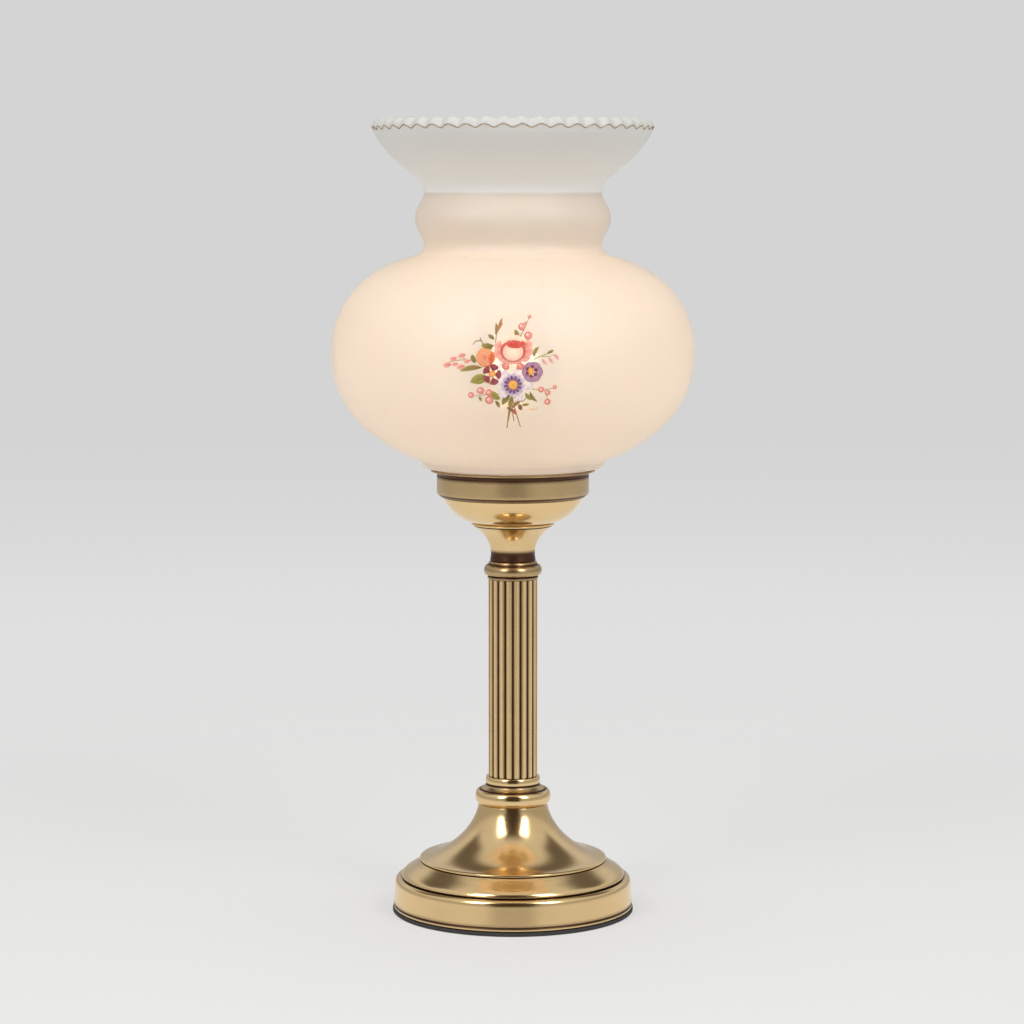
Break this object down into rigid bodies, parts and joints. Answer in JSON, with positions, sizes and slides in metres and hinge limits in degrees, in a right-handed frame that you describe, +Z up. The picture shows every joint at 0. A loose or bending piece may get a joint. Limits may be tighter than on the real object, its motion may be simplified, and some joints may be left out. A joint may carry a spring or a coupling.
{
  "type": "oil lamp",
  "caption": "Brass column oil lamp with a stepped round foot, a reeded column, a drop-in font with a flat-wick burner, a glass chimney and a crimped opal glass shade.",
  "frame": {"origin": "centre of the felt's underside, where the lamp stands", "axes": "+Z up along the lamp's axis, -Y is the front with the bouquet, +X is the side that the wick knob is on"},
  "size_m": [0.2022, 0.2022, 0.4446],
  "materials": {
    "antique_brass": "lacquered, lightly brushed, with dark patina in the grooves",
    "plain_brass": "satin",
    "black_felt": "matt felt",
    "cast_iron": "rough cast, painted black",
    "zinc_steel": "zinc plated",
    "opal_glass": "acid-frosted opal, with a gilded rim line and an enamelled bouquet",
    "clear_glass": "clear, polished",
    "wick_cotton": "flat woven cotton"
  },
  "bodies": {
    "stand": {"foot_felt": "black_felt", "base_shell": "antique_brass", "base_weight": "cast_iron", "rod_washer_lower": "zinc_steel", "rod_nut_lower": "zinc_steel", "tie_rod": "zinc_steel", "lower_collar": "antique_brass", "column_tube": "antique_brass", "upper_collar": "antique_brass", "cup_stem": "antique_brass", "font_cup": "antique_brass", "shade_band": "antique_brass", "rod_washer_upper": "zinc_steel", "rod_nut_upper": "zinc_steel"},
    "shade": {"shade": "opal_glass"},
    "font": {"font_body": "plain_brass", "font_collar": "plain_brass"},
    "burner": {"burner_body": "plain_brass", "burner_gallery": "plain_brass", "burner_cone": "plain_brass", "wick_tube": "plain_brass"},
    "winder": {"winder_spindle": "zinc_steel", "wick_wheel_left": "zinc_steel", "wick_wheel_right": "zinc_steel", "wick_knob": "plain_brass"},
    "wick": {"wick": "wick_cotton"},
    "chimney": {"chimney": "clear_glass"}
  },
  "joints": [
    {"name": "shade_lift", "type": "slide", "parent": "stand", "child": "shade", "axis": [0, 0, 1], "range_m": [0, 0.1]},
    {"name": "font_lift", "type": "slide", "parent": "stand", "child": "font", "axis": [0, 0, 1], "range_m": [0, 0.05]},
    {"name": "burner_turn", "type": "hinge", "parent": "font", "child": "burner", "pos_m": [0, 0, 0.2661], "axis": [0, 0, 1], "range_deg": [0, 360]},
    {"name": "chimney_lift", "type": "slide", "parent": "burner", "child": "chimney", "axis": [0, 0, 1], "range_m": [0, 0.12]},
    {"name": "knob_turn", "type": "hinge", "parent": "burner", "child": "winder", "pos_m": [0, 0.005, 0.2711], "axis": [-1, 0, 0], "range_deg": [-50, 100]},
    {"name": "wick_slide", "type": "slide", "parent": "burner", "child": "wick", "axis": [0, 0, 1], "range_m": [-0.00285, 0.00575]}
  ],
  "couplings": [
    {"joint": "knob_turn", "follows": "wick_slide", "rad_per_m": 303.03}
  ]
}
